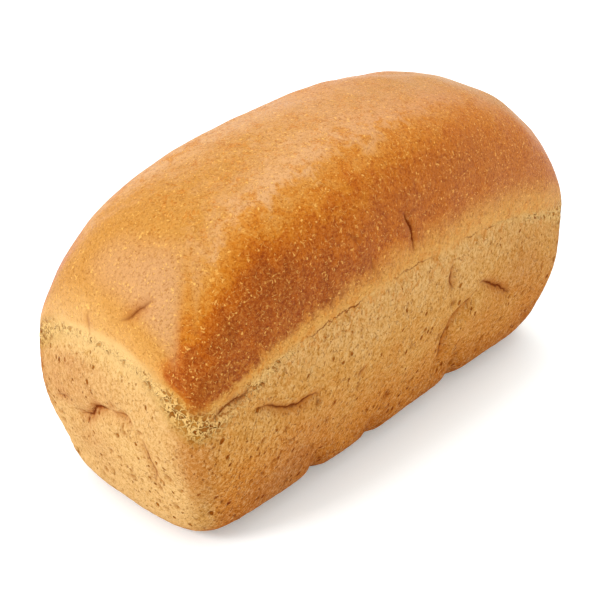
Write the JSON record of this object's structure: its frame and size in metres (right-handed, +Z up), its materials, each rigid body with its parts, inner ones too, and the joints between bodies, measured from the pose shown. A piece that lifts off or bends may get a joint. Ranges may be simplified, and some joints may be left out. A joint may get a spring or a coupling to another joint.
{
  "type": "tin loaf",
  "caption": "Whole white tin loaf with a domed golden-brown crown, a pale torn line round it and porous straw-coloured walls.",
  "frame": {"origin": "centre of the loaf's footprint, on the surface that it stands on", "axes": "+X along the loaf, +Y across it, +Z up through the crown"},
  "size_m": [0.2224, 0.0982, 0.1271],
  "materials": {
    "crust": "satin"
  },
  "bodies": {
    "root": {"loaf": "crust"}
  },
  "joints": []
}
